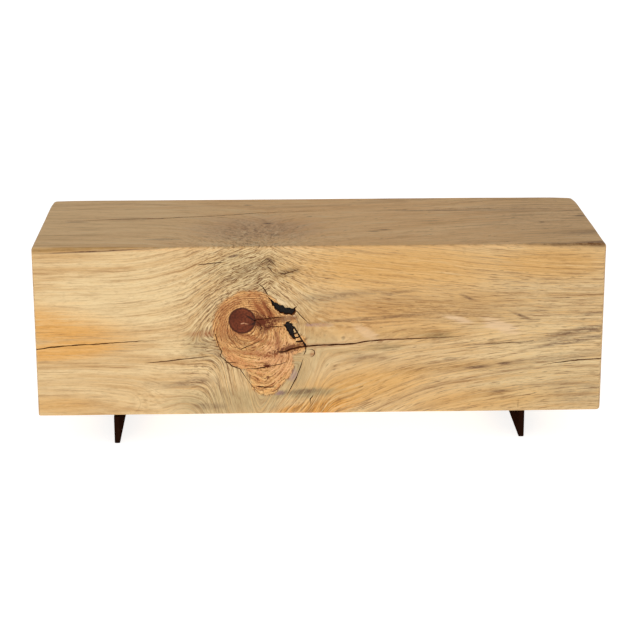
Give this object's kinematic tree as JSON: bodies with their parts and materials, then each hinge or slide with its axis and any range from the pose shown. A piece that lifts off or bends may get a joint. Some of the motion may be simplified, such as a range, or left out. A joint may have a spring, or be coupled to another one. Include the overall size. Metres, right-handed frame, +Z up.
{
  "type": "solid timber bench",
  "caption": "Low bench made of one squared solid pine block with a large branch knot and drying checks, on two dark steel blade feet.",
  "frame": {"origin": "on the floor, under the middle of the bench's footprint", "axes": "+X along the block's length, +Z up; the front face with the knot looks to -Y"},
  "size_m": [1.22, 0.45, 0.442],
  "materials": {
    "pine": "matte",
    "bark": "matte",
    "foot_steel": "satin",
    "weld": "satin",
    "zinc_screw": "satin"
  },
  "bodies": {
    "root": {"timber_block": "pine", "upper_bark_inclusion": "bark", "lower_bark_inclusion": "bark", "left_foot_blade": "foot_steel", "left_mounting_plate": "foot_steel", "left_inner_weld": "weld", "left_outer_weld": "weld", "left_lag_screw_front_inner": "zinc_screw", "left_washer_front_inner": "zinc_screw", "left_lag_screw_middle_inner": "zinc_screw", "left_washer_middle_inner": "zinc_screw", "left_lag_screw_rear_inner": "zinc_screw", "left_washer_rear_inner": "zinc_screw", "left_lag_screw_front_outer": "zinc_screw", "left_washer_front_outer": "zinc_screw", "left_lag_screw_middle_outer": "zinc_screw", "left_washer_middle_outer": "zinc_screw", "left_lag_screw_rear_outer": "zinc_screw", "left_washer_rear_outer": "zinc_screw", "right_foot_blade": "foot_steel", "right_mounting_plate": "foot_steel", "right_inner_weld": "weld", "right_outer_weld": "weld", "right_lag_screw_front_inner": "zinc_screw", "right_washer_front_inner": "zinc_screw", "right_lag_screw_middle_inner": "zinc_screw", "right_washer_middle_inner": "zinc_screw", "right_lag_screw_rear_inner": "zinc_screw", "right_washer_rear_inner": "zinc_screw", "right_lag_screw_front_outer": "zinc_screw", "right_washer_front_outer": "zinc_screw", "right_lag_screw_middle_outer": "zinc_screw", "right_washer_middle_outer": "zinc_screw", "right_lag_screw_rear_outer": "zinc_screw", "right_washer_rear_outer": "zinc_screw"}
  },
  "joints": []
}
